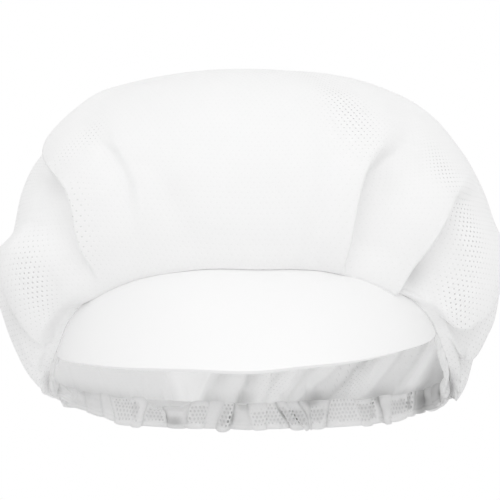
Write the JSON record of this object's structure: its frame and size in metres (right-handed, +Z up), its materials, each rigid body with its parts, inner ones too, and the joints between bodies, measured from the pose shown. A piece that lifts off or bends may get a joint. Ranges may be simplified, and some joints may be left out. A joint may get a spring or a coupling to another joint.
{
  "type": "mesh cap",
  "caption": "Full gathered cap of white knitted mesh with a stiff rounded peak, a ruffled elastic hem and an open hollow for the head.",
  "frame": {"origin": "point on the wearer's head axis, level with the middle of the forehead seam; the middle of the head opening seen from above", "axes": "+Z up on the upright head, -Y forward over the peak, +X to the right in the view from the front"},
  "size_m": [0.2614, 0.2773, 0.1948],
  "materials": {
    "crown_mesh": "fine white knitted mesh, matt, with small holes in staggered rows",
    "peak_sheet": "smooth plain white stiff sheet, matt",
    "hem_mesh": "the crown's mesh gathered over elastic, matt"
  },
  "bodies": {
    "root": {"crown": "crown_mesh", "peak": "peak_sheet", "elastic_hem": "hem_mesh"}
  },
  "joints": []
}
